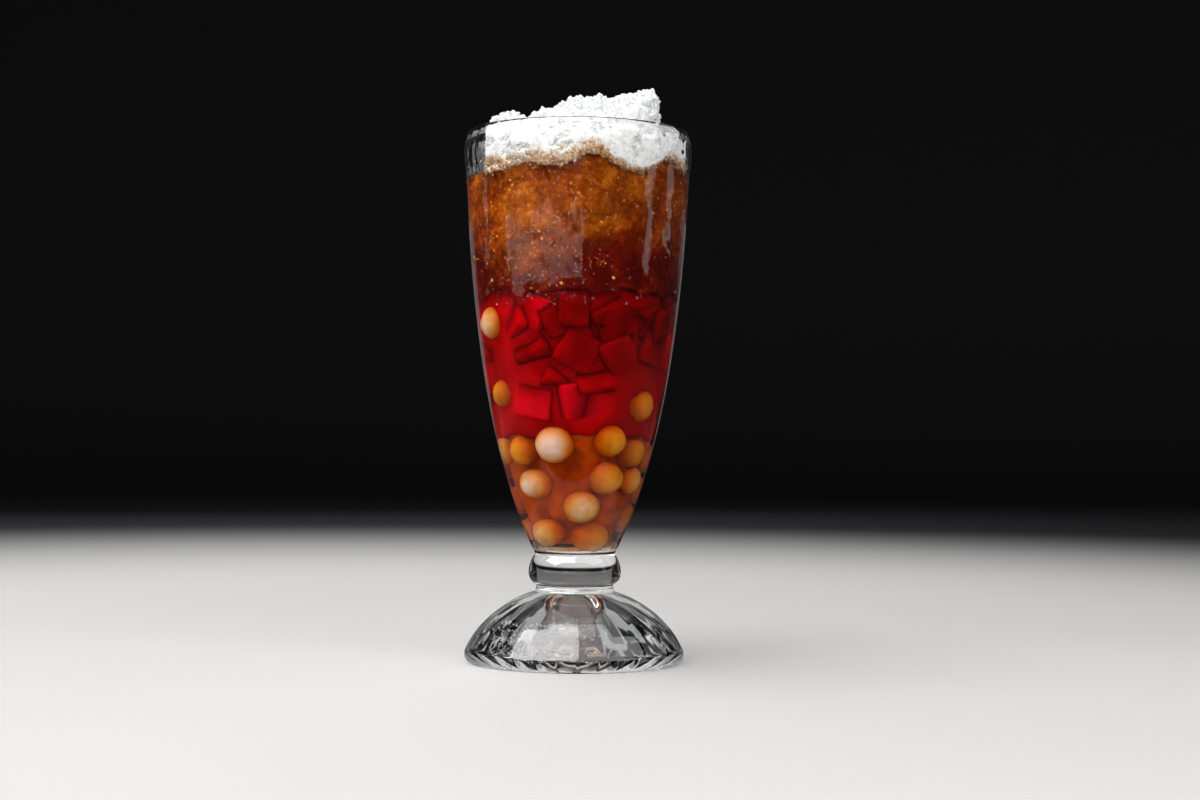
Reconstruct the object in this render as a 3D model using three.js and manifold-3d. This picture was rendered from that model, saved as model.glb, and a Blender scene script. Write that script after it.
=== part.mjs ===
// A tall footed soda glass of sago and gulaman: tan sago pearls at the bottom, red gulaman cubes above
// them, brown syrup slush over those and a heap of shaved ice that stands out of the rim.
// Millimetres, +Z up. The origin is the centre of the foot's underside, and -Y is the front.
import * as THREE from "three";
import { mergeVertices } from "three/addons/utils/BufferGeometryUtils.js";
import Module from "manifold-3d";

const wasm = await Module();
wasm.setup();

// Driving dimensions of the glass
const RIM_Z = 190;
const LIP_Z = 187.4;
const LIP_OUTER_R = 40.2;
const WALL_AT_LIP = 2.8;
const WALL_AT_FLOOR = 3.8;
const LIP_INNER_R = LIP_OUTER_R - WALL_AT_LIP;
const BOWL_FOOT_Z = 40.8;
const BOWL_TOP_Z = 176.1;
const CAVITY_FLOOR_Z = 40.5;
const CAVITY_WALL_Z = 46;
const REST_INNER_R = 33;
const REST_OUTER_R = 37.6;
const FOOT_HOLLOW_Z = 18.5;
const PANEL_EDGE_DEG = 3.5;
const BOWL_PANELS = 10;
const BOWL_FLATNESS = 0.3;
const FOOT_PANELS = 20;
const FOOT_FLATNESS = 0.9;
const SEGMENTS = 40;

// Driving dimensions of the food
const GAP = 0.3;
const PEARL_R = 5.3;
const PEARL_SPREAD_R = 0.4;
const PEARLS_TOP_Z = 85.6;
const CUBE_SIDE = 12;
const CUBE_SPREAD = 2;
const CUBE_TILT = 0.6;
const GULAMAN_TOP_Z = 132;
const SLUSH_EDGE_Z = 173;
const ICE_LEFT_X = -30.4;
const ICE_RIGHT_X = 35.8;
const ICE_CLIFF_X = 26.8;
const ICE_EDGE_Z = 188.6;
const ICE_SHOULDER_Z = 187;
const ICE_RIDGE_LEFT_Z = 193.6;
const ICE_RIDGE_RIGHT_Z = 204.4;
const ICE_RIDGE_Y = -3;
const ICE_RELIEF = 1;

// Curves and small sums

const at = (r, z) => new THREE.Vector2(r, z);
const radians = THREE.MathUtils.degToRad;
const { lerp, smoothstep, clamp } = THREE.MathUtils;

// Repeatable random numbers from 0 to 1.
function seeded(seed) {
  let state = seed;
  return () => {
    state = (state * 1664525 + 1013904223) % 4294967296;
    return state / 4294967296;
  };
}

// A point from its distance to the axis, its angle from the front towards the right, and its height.
const around = (r, angle, z) => new THREE.Vector3(r * Math.sin(angle), -r * Math.cos(angle), z);

// An uneven relief between -1 and 1, the same each time for the same place.
const relief = (x, y, z = 0) =>
  Math.sin(0.9 * x + 2.1 * Math.sin(0.5 * y)) * Math.cos(0.8 * y + 1.7 * Math.sin(0.6 * z + 0.4 * x));

const stepsBetween = (from, to, count) =>
  Array.from({ length: count }, (_, step) => lerp(from, to, step / count));

// A smooth bump of height 1 at the middle, which fades over the width.
const bump = (offset, width) => Math.exp(-((offset / width) ** 2));

const CURVES = [THREE.LineCurve, THREE.QuadraticBezierCurve, THREE.CubicBezierCurve];
const curveThrough = (controls) => new CURVES[controls.length - 2](...controls);
const BOWL_CONTROLS = [at(15.3, BOWL_FOOT_Z), at(40.3, 92.3), at(38.9, 166.9), at(40.3, BOWL_TOP_Z)];
const FLARE_CONTROLS = [BOWL_CONTROLS[3], at(41, 179.5), at(41.2, 185), at(LIP_OUTER_R, LIP_Z)];
const BOWL_CURVE = curveThrough(BOWL_CONTROLS);
const FLARE_CURVE = curveThrough(FLARE_CONTROLS);

// The height along an outline curve grows with its parameter, so halving finds the radius at a height.
function radiusOn(curve, z) {
  let low = 0;
  let high = 1;
  for (let step = 0; step < 30; step++) {
    const middle = (low + high) / 2;
    if (curve.getPoint(middle).y < z) low = middle;
    else high = middle;
  }
  return curve.getPoint(low).x;
}

const outerRadius = (z) =>
  radiusOn(z < BOWL_TOP_Z ? BOWL_CURVE : FLARE_CURVE, clamp(z, BOWL_FOOT_Z, LIP_Z));
const wallAt = (z) => lerp(WALL_AT_FLOOR, WALL_AT_LIP, smoothstep(z, CAVITY_WALL_Z, LIP_Z));
const innerRadius = (z) => outerRadius(z) - wallAt(z);

// How much of its radius a flat panel loses at this angle: nothing at its edges, most at its middle.
function panelLoss(angle, panels) {
  const width = (2 * Math.PI) / panels;
  const turned = angle - radians(PANEL_EDGE_DEG);
  const offset = turned - width * Math.floor(turned / width) - width / 2;
  return 1 - Math.cos(width / 2) / Math.cos(offset);
}

// Solids

function solidOf(geometry) {
  const bare = geometry.index ? geometry.toNonIndexed() : geometry.clone();
  bare.deleteAttribute("normal");
  bare.deleteAttribute("uv");
  const merged = mergeVertices(bare, 1e-4);
  return new wasm.Manifold(new wasm.Mesh({
    numProp: 3,
    vertProperties: merged.attributes.position.array,
    triVerts: new Uint32Array(merged.index.array),
  }));
}

function geometryOf(solid) {
  const mesh = solid.getMesh();
  const geometry = new THREE.BufferGeometry();
  geometry.setAttribute("position", new THREE.BufferAttribute(mesh.vertProperties, 3));
  geometry.setIndex(new THREE.BufferAttribute(mesh.triVerts, 1));
  return geometry.toNonIndexed();
}

const union = (solids) => solids.reduce((sum, solid) => sum.add(solid));

// Revolves a profile about Z. place(point, angle) gives each point of it its place at each angle.
function revolve(profile, segments, place) {
  const lathe = new THREE.LatheGeometry(profile, segments);
  const positions = lathe.attributes.position;
  for (let index = 0; index < positions.count; index++) {
    const column = Math.floor(index / profile.length) % segments;
    const spot = place(profile[index % profile.length], (column / segments) * 2 * Math.PI);
    positions.setXYZ(index, spot.x, spot.y, spot.z);
  }
  return lathe;
}

// The bigger of a solid's separate bodies, which drops loose scraps.
function largestBody(solid) {
  return solid.decompose().reduce((best, body) => (body.volume() > best.volume() ? body : best));
}

// The glass

const bandTop = at(38.8, 5);
const domeTop = at(14.8, 25);
const neck = at(13.9, 27.9);
const waist = at(14.5, 38.4);
const innerAt = (z) => at(innerRadius(z), z);
const rounds = (share) => Math.sin(Math.PI * share);
const flat = (controls, steps, panels, flatness) => ({ controls, steps, panels, flatness });
const round = (controls, steps) => flat(controls, steps, BOWL_PANELS, () => 0);

// The stretches of the outline, from the underside's middle over the foot, the neck, the bowl and the lip
// to the cavity's floor. Each is a Bezier curve, and some have flat panels.
const GLASS_OUTLINE = [
  round([at(0, FOOT_HOLLOW_Z), at(12, FOOT_HOLLOW_Z - 0.5), at(REST_INNER_R, 0)], 5),
  round([at(REST_INNER_R, 0), at(REST_OUTER_R, 0)], 1),
  round([at(REST_OUTER_R, 0), at(39.2, 0.6), at(40, 3.2), bandTop], 3),
  flat([bandTop, at(35, 13.8), at(25.3, 21.9), domeTop], 7, FOOT_PANELS,
    (share) => FOOT_FLATNESS * rounds(share) ** 0.5),
  round([domeTop, at(13.7, 25.4), neck], 2),
  round([neck, at(18.1, 29.3), at(16.6, 35.6), waist], 6),
  round([waist, at(14.4, 39.8), BOWL_CONTROLS[0]], 2),
  flat(BOWL_CONTROLS, 11, BOWL_PANELS, (share) => BOWL_FLATNESS * rounds(share) ** 0.4),
  round(FLARE_CONTROLS, 3),
  round([FLARE_CONTROLS[3], at(39.6, RIM_Z + 0.9), at(38, RIM_Z + 0.8), at(LIP_INNER_R, LIP_Z)], 4),
];

// The cavity from the lip down the wall to the middle of its floor.
function cavityOutline(wallSteps, floorSteps) {
  const flare = stepsBetween(LIP_Z, BOWL_TOP_Z, 3);
  const wall = [...flare, ...stepsBetween(BOWL_TOP_Z, CAVITY_WALL_Z, wallSteps)].map(innerAt);
  const floor = new THREE.QuadraticBezierCurve(
    innerAt(CAVITY_WALL_Z), at(10.5, CAVITY_FLOOR_Z), at(0, CAVITY_FLOOR_Z));
  return [...wall, ...floor.getPoints(floorSteps)];
}

function glassSolid() {
  const profile = [];
  for (const { controls, steps, panels, flatness } of GLASS_OUTLINE) {
    const curve = curveThrough(controls);
    for (let step = 0; step < steps; step++) {
      const spot = curve.getPoint(step / steps);
      profile.push(Object.assign(spot, { panels, flatness: flatness(step / steps) }));
    }
  }
  const cavity = cavityOutline(9, 3);
  profile.push(...cavity.map((spot) => Object.assign(spot, { panels: BOWL_PANELS, flatness: 0 })));
  return solidOf(revolve(profile, SEGMENTS, (spot, angle) => {
    const turned = angle + radians(PANEL_EDGE_DEG);
    return around(spot.x * (1 - spot.flatness * panelLoss(turned, spot.panels)), turned, spot.y);
  }));
}

// What fills the bowl

// Where the food may reach: the gap inside the wall.
const reachAt = (z) => innerRadius(z) - GAP;

// The farthest from the axis that a ball of this radius can lie at this height.
const CAVITY = cavityOutline(150, 15);
function ballReach(ballR, z) {
  let reach = innerRadius(z);
  const touches = () => CAVITY.some((spot) => Math.hypot(spot.x - reach, spot.y - z) < ballR + GAP);
  while (reach > 0 && touches()) reach -= 0.05;
  return reach;
}

// A solid between a lower and an upper face, whose sides lie at reach(height, angle). The rings of its
// faces lie closer together outwards, so that all rings cover a like area.
function layer({ lower, upper, reach, rings, rows, segments }) {
  const profile = [];
  for (let ring = 0; ring <= rings; ring++) profile.push({ x: Math.sqrt(ring / rings), y: 0 });
  for (let row = 1; row < rows; row++) profile.push({ x: 1, y: row / rows });
  for (let ring = rings; ring >= 0; ring--) profile.push({ x: Math.sqrt(ring / rings), y: 1 });
  const edgeOf = (face, angle) => {
    let z = face(0, 0);
    for (let step = 0; step < 6; step++) {
      const spot = around(reach(z, angle), angle, z);
      z = face(spot.x, spot.y);
    }
    return z;
  };
  return solidOf(revolve(profile, segments, (spot, angle) => {
    const face = spot.y < 0.5 ? lower : upper;
    if (spot.x === 1) {
      const z = lerp(edgeOf(lower, angle), edgeOf(upper, angle), spot.y);
      return around(reach(z, angle), angle, z);
    }
    const place = around(spot.x * reach(edgeOf(face, angle), angle), angle, 0);
    place.z = face(place.x, place.y);
    return place;
  }));
}

// Sago pearls

// The pearls that show at the front, as [degrees from the front towards the right, height, radius].
const FRONT_PEARLS = [
  [-21, 78.6, 6.6], [34.5, 79.8, 5.7], [64, 76, 5.2], [-57, 76.5, 5.3], [-88, 77, 5.2], [37, 67, 5.8],
  [74, 66.5, 5], [-51, 65, 5.6], [10, 56.8, 5.9], [-58, 48, 5.3], [44, 46.8, 5.8]];
// The pearls that strayed up among the gulaman, the first three at the front.
const STRAY_PEARLS = [[61, 92.4, 5.6], [-70, 121.2, 6], [-68, 96.5, 4.9], [152, 104, 5.3]];

const makePearl = ([degrees, z, r]) => ({ r, centre: around(ballReach(r, z), radians(degrees), z) });

function pearlSolid({ r, centre }, extra = 0) {
  const ball = new THREE.IcosahedronGeometry(r + extra, 1);
  ball.rotateZ(centre.x);
  ball.rotateX(centre.y);
  ball.translate(centre.x, centre.y, centre.z);
  return solidOf(ball);
}

// Starts with the front pearls and adds others round the wall wherever one fits beside the rest.
function heapPearls() {
  const LOWEST_CENTRE_Z = CAVITY_FLOOR_Z + PEARL_R + PEARL_SPREAD_R + GAP;
  const APART = 0.5;
  const draw = seeded(11);
  const pearls = FRONT_PEARLS.map(makePearl);
  for (let z = LOWEST_CENTRE_Z; z < PEARLS_TOP_Z - PEARL_R; z += 1.7)
    for (let degrees = 60; degrees < 305; degrees += 7) {
      const r = PEARL_R + PEARL_SPREAD_R * (draw() - 0.5) * 2;
      const next = makePearl([degrees, z + draw(), r]);
      const clearOf = (pearl) => pearl.centre.distanceTo(next.centre) > pearl.r + next.r + APART;
      if (pearls.every(clearOf) && next.centre.z + next.r < PEARLS_TOP_Z) pearls.push(next);
    }
  return pearls;
}

function pearlHeapSolid() {
  const CORE_INSET = 7;
  const CORE_SMALLEST_R = 5.5;
  const core = layer({
    lower: () => CAVITY_FLOOR_Z + 1.5,
    upper: () => PEARLS_TOP_Z - 3,
    reach: (z) => Math.max(innerRadius(Math.max(z, CAVITY_WALL_Z)) - CORE_INSET, CORE_SMALLEST_R),
    rings: 1, rows: 3, segments: 16,
  });
  return union([core, ...heapPearls().map((pearl) => pearlSolid(pearl))]);
}

// Gulaman cubes

const cubeDraw = seeded(29);
const strays = STRAY_PEARLS.map(makePearl);

// One jelly cube, turned at random and moved in until all its corners are inside the wall and the layer.
function makeCube(angle, z) {
  const INWARD_STEP = 0.25;
  const side = () => CUBE_SIDE + CUBE_SPREAD * (cubeDraw() - 0.5) * 2;
  const tilt = () => CUBE_TILT * (cubeDraw() - 0.5) * 2;
  const box = new THREE.BoxGeometry(side(), side(), side());
  box.rotateX(tilt());
  box.rotateY(tilt());
  box.rotateZ(angle + tilt());
  const corners = box.attributes.position;
  const corner = new THREE.Vector3();
  const centre = around(innerRadius(z), angle, z);
  const inwards = around(-INWARD_STEP, angle, 0);
  const clears = () => {
    for (let index = 0; index < corners.count; index++) {
      corner.fromBufferAttribute(corners, index).add(centre);
      if (Math.hypot(corner.x, corner.y) > reachAt(corner.z)) return false;
    }
    return true;
  };
  box.computeBoundingBox();
  centre.z = clamp(z, PEARLS_TOP_Z + GAP - box.boundingBox.min.z, GULAMAN_TOP_Z - box.boundingBox.max.z);
  while (!clears()) centre.add(inwards);
  box.translate(centre.x, centre.y, centre.z);
  return { centre, solid: solidOf(box) };
}

function gulamanSolid() {
  const CORE_INSET = 9;
  const ROWS = [91, 101.5, 112, 122, 130];
  const PITCH = 12.6;
  const PEARL_TO_CUBE = CUBE_SIDE * 0.55;
  const cubes = [];
  ROWS.forEach((z, row) => {
    const count = Math.floor((2 * Math.PI * (innerRadius(z) - CUBE_SIDE / 2)) / PITCH);
    for (let index = 0; index < count; index++) {
      const angle = ((index + (row % 2) / 2) / count) * 2 * Math.PI;
      const cube = makeCube(angle, z + (cubeDraw() - 0.5) * 3);
      const hits = (pearl) => pearl.centre.distanceTo(cube.centre) < pearl.r + PEARL_TO_CUBE;
      if (!strays.some(hits)) cubes.push(cube.solid);
    }
  });
  const core = layer({
    lower: () => PEARLS_TOP_Z + GAP,
    upper: () => GULAMAN_TOP_Z,
    reach: (z) => innerRadius(z) - CORE_INSET,
    rings: 1, rows: 3, segments: 16,
  });
  const holes = strays.map((pearl) => pearlSolid(pearl, GAP * 1.6));
  return largestBody(union([core, ...cubes]).subtract(union(holes)));
}

// Brown slush

// The slush's top: a wavy edge with a crest just right of the front and another at the right, and a dip
// between them under the ice lumps.
function slushTop(x, y) {
  const degrees = THREE.MathUtils.radToDeg(Math.atan2(x, -y));
  const outwards = Math.hypot(x, y) / LIP_INNER_R;
  const left = 2.3 * bump(degrees + 25, 13);
  const middle = 5.1 * bump(degrees - 9, 12);
  const right = 4.8 * bump(degrees - 55, 13) - 0.6 * bump(degrees - 34, 8) + 2.4 * bump(degrees - 85, 20);
  const back = 1.3 * Math.cos(radians(3 * degrees)) * smoothstep(Math.abs(degrees), 90, 150);
  return SLUSH_EDGE_Z + (left + middle + right + back) * outwards;
}

function slushSolid() {
  return layer({
    lower: () => GULAMAN_TOP_Z + GAP,
    upper: slushTop,
    reach: reachAt,
    rings: 3, rows: 5, segments: SEGMENTS,
  });
}

// Shaved ice

// The heap's top: a ridge from left to right, with a round lump and a dip near its left end. It falls to
// the rim in front and behind, and to a shoulder beyond a cliff at the right.
function iceTop(x, y) {
  const along = clamp((x - ICE_LEFT_X) / (ICE_CLIFF_X - ICE_LEFT_X), 0, 1);
  const lump = 2.8 * bump(Math.hypot(x + 23, y - ICE_RIDGE_Y), 4);
  const dip = 1.3 * bump(x + 18, 2.6);
  const ridge = lerp(ICE_RIDGE_LEFT_Z, ICE_RIDGE_RIGHT_Z, 1 - (1 - along) ** 2.5) + lump - dip;
  const fall = Math.min(Math.abs(y - ICE_RIDGE_Y) / 35, 1) ** 2.4;
  const mound = lerp(ridge, ICE_EDGE_Z, fall);
  return lerp(mound, ICE_SHOULDER_Z, smoothstep(x, ICE_CLIFF_X - 1, ICE_CLIFF_X + 2));
}

// The heap touches the wall in front and behind, and stops well short of it at the left and just short
// of it at the right.
function iceReach(z, angle) {
  const side = Math.sin(angle);
  const sideX = side < 0 ? ICE_LEFT_X : ICE_RIGHT_X;
  return Math.min(reachAt(Math.min(z, LIP_Z)), side ? sideX / side : Infinity);
}

function iceSolid(slush) {
  const draw = seeded(3);
  const heap = layer({
    lower: () => SLUSH_EDGE_Z - 6,
    upper: (x, y) => iceTop(x, y) + ICE_RELIEF * relief(x, y),
    reach: (z, angle) => iceReach(z, angle) - 0.4 * ICE_RELIEF * (1 + relief(12 * angle, z)),
    rings: 7, rows: 4, segments: SEGMENTS,
  });
  const grains = [];
  const GRAINS = 36;
  const GRAINS_REACH = 31;
  const GOLDEN_ANGLE = radians(137.508);
  for (let index = 0; index < GRAINS; index++) {
    const angle = index * GOLDEN_ANGLE;
    const spot = around(GRAINS_REACH * Math.sqrt((index + 0.5) / GRAINS), angle, 0);
    const r = 1.2 + 0.9 * draw();
    if (spot.x < ICE_LEFT_X + r) continue;
    const grain = new THREE.IcosahedronGeometry(r, 0);
    grain.scale(1, 0.8, 0.7);
    grain.rotateX(6 * draw());
    grain.rotateZ(6 * draw());
    grain.translate(spot.x, spot.y, iceTop(spot.x, spot.y) + 0.2 * r);
    grains.push(solidOf(grain));
  }
  return largestBody(union([heap, ...grains]).subtract(slush.translate([0, 0, GAP])));
}

// The whole drink

const finish = (color, roughness) => new THREE.MeshStandardMaterial({ color, roughness, metalness: 0 });
const glassFinish = new THREE.MeshStandardMaterial(
  { color: 0xe8eef0, roughness: 0.04, metalness: 0, transparent: true, opacity: 0.3 });
const pearlFinish = finish(0xc89a6c, 0.35);

function node(name, solid, material) {
  const mesh = new THREE.Mesh(geometryOf(solid), material);
  mesh.name = name;
  return mesh;
}

const drink = new THREE.Group();
const slush = slushSolid();
drink.add(node("glass", glassSolid(), glassFinish));
drink.add(node("sago_pearls", pearlHeapSolid(), pearlFinish));
strays.forEach((pearl, index) => drink.add(node(`sago_pearl_${index + 1}`, pearlSolid(pearl), pearlFinish)));
drink.add(node("gulaman_cubes", gulamanSolid(), finish(0x8c0010, 0.25)));
drink.add(node("brown_slush", slush, finish(0x7a3410, 0.4)));
drink.add(node("shaved_ice", iceSolid(slush), finish(0xf4f5f5, 0.6)));

export default drink;
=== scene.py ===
"""Looks of the glass of sago and gulaman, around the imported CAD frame.

Shapes are worked out in millimetres, +Z up and -Y to the front, and go to Blender in metres.
"""

import math

import bpy
import numpy as np
from mathutils import Matrix


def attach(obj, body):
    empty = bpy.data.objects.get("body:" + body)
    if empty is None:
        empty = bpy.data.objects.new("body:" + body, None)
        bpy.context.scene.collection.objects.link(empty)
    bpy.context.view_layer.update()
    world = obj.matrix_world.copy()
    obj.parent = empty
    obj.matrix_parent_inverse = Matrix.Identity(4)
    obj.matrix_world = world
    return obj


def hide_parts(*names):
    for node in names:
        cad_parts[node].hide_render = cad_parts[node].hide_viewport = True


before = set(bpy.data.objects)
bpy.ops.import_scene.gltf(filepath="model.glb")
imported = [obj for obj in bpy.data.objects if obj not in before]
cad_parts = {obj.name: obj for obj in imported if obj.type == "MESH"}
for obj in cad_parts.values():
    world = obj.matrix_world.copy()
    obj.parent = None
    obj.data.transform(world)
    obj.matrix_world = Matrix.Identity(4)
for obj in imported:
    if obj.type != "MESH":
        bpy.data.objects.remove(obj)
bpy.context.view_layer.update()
MM = 0.001
GOLDEN_ANGLE = math.radians(137.508)

# Driving sizes of the glass, as in the CAD

RIM_Z = 190.0
LIP_Z = 187.4
LIP_OUTER_R = 40.2
WALL_AT_LIP = 2.8
WALL_AT_FLOOR = 3.8
LIP_INNER_R = LIP_OUTER_R - WALL_AT_LIP
BOWL_FOOT_Z = 40.8
BOWL_TOP_Z = 176.1
CAVITY_FLOOR_Z = 40.5
CAVITY_WALL_Z = 46.0
REST_INNER_R = 33.0
REST_OUTER_R = 37.6
FOOT_HOLLOW_Z = 18.5
PANEL_EDGE_DEG = 3.5
BOWL_PANELS = 10
BOWL_FLATNESS = 0.32
FOOT_PANELS = 20
FOOT_FLATNESS = 1.0
SEGMENTS = 200

# Driving sizes of the food, as in the CAD

GAP = 0.3
PEARL_R = 5.3
PEARL_SPREAD_R = 0.4
PEARLS_TOP_Z = 85.6
CUBE_SIDE = 12.0
CUBE_SPREAD = 2.0
CUBE_TILT = 0.6
GULAMAN_TOP_Z = 132.0
SLUSH_EDGE_Z = 173.0
ICE_LEFT_X = -30.4
ICE_RIGHT_X = 35.8
ICE_CLIFF_X = 26.8
ICE_EDGE_Z = 188.6
ICE_SHOULDER_Z = 187.0
ICE_RIDGE_LEFT_Z = 193.6
ICE_RIDGE_RIGHT_Z = 204.4
ICE_RIDGE_Y = -3.0

# The pearls that show at the front: degrees from the front towards the right, height, radius, and how
# pale each is from 0 to 1
FRONT_PEARLS = [
    (-21, 78.6, 6.6, 1.0), (34.5, 79.8, 5.7, 0.38), (64, 76, 5.2, 0.3), (-57, 76.5, 5.3, 0.4),
    (-88, 77, 5.2, 0.8), (37, 67, 5.8, 0.45), (74, 66.5, 5, 0.6), (-51, 65, 5.6, 0.9),
    (10, 56.8, 5.9, 0.8), (-58, 48, 5.3, 0.72), (44, 46.8, 5.8, 0.58)]
# The pearls that strayed up among the cubes, and the node of each
STRAY_PEARLS = [(61, 92.4, 5.6, 0.28), (-70, 121.2, 6, 0.87), (-68, 96.5, 4.9, 0.25), (152, 104, 5.3, 0.5)]
STRAY_NODES = [f"sago_pearl_{index + 1}" for index in range(len(STRAY_PEARLS))]

# How far wet things reach into the glass wall, so that no air shows between them
INTO_WALL = 0.25
# How far a pearl may pass the wall's inside, as if pressed flat there
PRESSED = 0.12


# Curves and small sums


def lerp(low, high, share):
    return low + (high - low) * share


def smoothstep(value, low, high):
    share = np.clip((value - low) / (high - low), 0.0, 1.0)
    return share * share * (3 - 2 * share)


def bump(offset, width):
    """A smooth bump of height 1 at the middle, which fades over the width."""
    return np.exp(-((offset / width) ** 2))


def bezier(controls, steps):
    """Points along a Bezier curve of any order, without its last point."""
    points = [np.outer(np.ones(steps), control) for control in controls]
    share = (np.arange(steps) / steps)[:, None]
    while len(points) > 1:
        points = [lerp(a, b, share) for a, b in zip(points, points[1:])]
    return points[0]


def around(r, angle, z):
    """A point from its distance to the axis, its angle from the front towards the right, and its height."""
    return np.stack(np.broadcast_arrays(r * np.sin(angle), -r * np.cos(angle), z), axis=-1).astype(float)


BOWL = [(15.3, BOWL_FOOT_Z), (40.3, 92.3), (38.9, 166.9), (40.3, BOWL_TOP_Z)]
FLARE = [(40.3, BOWL_TOP_Z), (41, 179.5), (41.2, 185), (LIP_OUTER_R, LIP_Z)]
OUTER_LINE = np.vstack([bezier(BOWL, 400), bezier(FLARE, 100), [FLARE[-1]]])


def outer_radius(z):
    return np.interp(z, OUTER_LINE[:, 1], OUTER_LINE[:, 0])


def inner_radius(z):
    return outer_radius(z) - lerp(WALL_AT_FLOOR, WALL_AT_LIP, smoothstep(z, CAVITY_WALL_Z, LIP_Z))


def panel_loss(angle, panels):
    """How much of its radius a flat panel loses at this angle: nothing at its edges, most at its middle."""
    width = 2 * math.pi / panels
    offset = (angle - math.radians(PANEL_EDGE_DEG)) % width - width / 2
    return 1 - math.cos(width / 2) / np.cos(offset)


class Draws:
    """Repeatable random numbers from 0 to 1, the same as the CAD's."""

    def __init__(self, seed):
        self.state = seed

    def __call__(self):
        self.state = (self.state * 1664525 + 1013904223) % 4294967296
        return self.state / 4294967296

    def spread(self):
        return 2 * self() - 1


def lattice_noise(points, seed):
    """Smooth noise from -1 to 1 at each point, one cell of the lattice to a unit."""
    cell = np.floor(points).astype(np.int64)
    share = points - cell
    share = share * share * (3 - 2 * share)
    total = np.zeros(len(points))
    for corner in np.ndindex(2, 2, 2):
        at = cell + corner
        value = (at[:, 0] * 73856093) ^ (at[:, 1] * 19349663) ^ (at[:, 2] * 83492791) ^ (seed * 2654435761)
        value = (value ^ (value >> 13)) * 1274126177 & 0x7FFFFFFF
        weight = np.prod(np.where(np.array(corner), share, 1 - share), axis=1)
        total += weight * ((value ^ (value >> 16)) % 65536 / 32767.5 - 1)
    return total


def rough_noise(points, size, octaves=3, seed=1):
    """Several octaves of noise over features of this size in millimetres."""
    total = np.zeros(len(points))
    for octave in range(octaves):
        total += lattice_noise(points / size * 2**octave, seed + octave) / 2**octave
    return total


def flat_noise(x, y, size, octaves, seed):
    """The same noise over a level face."""
    return rough_noise(np.column_stack([x, y, np.zeros_like(x)]), size, octaves, seed)


# Meshes


def make_piece(name, points, faces, material, smooth=True, tone=None):
    """An object from points in millimetres. Its tone, one number to a point, is for its material."""
    mesh = bpy.data.meshes.new(name)
    mesh.from_pydata((np.asarray(points) * MM).tolist(), [], np.asarray(faces, dtype=object).tolist())
    mesh.polygons.foreach_set("use_smooth", [smooth] * len(mesh.polygons))
    mesh.materials.append(material)
    if tone is not None:
        attribute = mesh.attributes.new("tone", "FLOAT", "POINT")
        attribute.data.foreach_set("value", np.asarray(tone, dtype=np.float32))
    mesh.update()
    piece = bpy.data.objects.new(name, mesh)
    bpy.context.scene.collection.objects.link(piece)
    return piece


def circle(segments):
    """Evenly spaced angles all round."""
    return np.arange(segments) * 2 * math.pi / segments


def skin(first, rings, last):
    """Points and faces of a closed body from its first point over rings of points to its last."""
    segments = len(rings[0])
    points = np.vstack([[first], *rings, [last]])
    here = np.arange(segments)
    after = (here + 1) % segments
    faces = [(0, 1 + b, 1 + a) for a, b in zip(here, after)]
    for row in range(len(rings) - 1):
        low = 1 + row * segments
        high = low + segments
        faces += list(zip(low + here, low + after, high + after, high + here))
    top = 1 + (len(rings) - 1) * segments
    faces += [(top + a, top + b, len(points) - 1) for a, b in zip(here, after)]
    return points, faces


def layer(lower, upper, reach, rings, rows, segments):
    """Points and faces of a body between a lower and an upper face, whose side lies at reach(z, angles).
    The rings are one number, or one for each face. An edge's height and its reach depend on each other, so
    they are worked out in turns."""
    turns = 12
    angles = circle(segments)
    low_shares, high_shares = (np.sqrt(np.arange(1, n) / n) for n in np.broadcast_to(rings, 2))

    def edge_of(face):
        z = np.full(segments, BOWL_TOP_Z)
        for _ in range(turns):
            spots = around(reach(z, angles), angles, z)
            z = face(spots[:, 0], spots[:, 1])
        return z

    def ring_on(face, edge, share):
        spots = around(share * reach(edge, angles), angles, 0.0)
        spots[:, 2] = face(spots[:, 0], spots[:, 1])
        return spots

    def middle(face):
        return 0, 0, float(face(np.zeros(1), np.zeros(1))[0])

    low, high = edge_of(lower), edge_of(upper)
    bottom = [ring_on(lower, low, share) for share in low_shares]
    heights = [lerp(low, high, row / rows) for row in range(rows + 1)]
    side = [around(reach(z, angles), angles, z) for z in heights]
    top = [ring_on(upper, high, share) for share in high_shares[::-1]]
    return skin(middle(lower), bottom + side + top, middle(upper))


GOLD = (1 + math.sqrt(5)) / 2
ICOSA_POINTS = np.array([
    (-1, GOLD, 0), (1, GOLD, 0), (-1, -GOLD, 0), (1, -GOLD, 0), (0, -1, GOLD), (0, 1, GOLD),
    (0, -1, -GOLD), (0, 1, -GOLD), (GOLD, 0, -1), (GOLD, 0, 1), (-GOLD, 0, -1), (-GOLD, 0, 1),
]) / math.hypot(1, GOLD)
ICOSA_FACES = np.array([
    (0, 11, 5), (0, 5, 1), (0, 1, 7), (0, 7, 10), (0, 10, 11), (1, 5, 9), (5, 11, 4), (11, 10, 2),
    (10, 7, 6), (7, 1, 8), (3, 9, 4), (3, 4, 2), (3, 2, 6), (3, 6, 8), (3, 8, 9), (4, 9, 5),
    (2, 4, 11), (6, 2, 10), (8, 6, 7), (9, 8, 1),
])
ICOSA = (ICOSA_POINTS, ICOSA_FACES)


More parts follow.
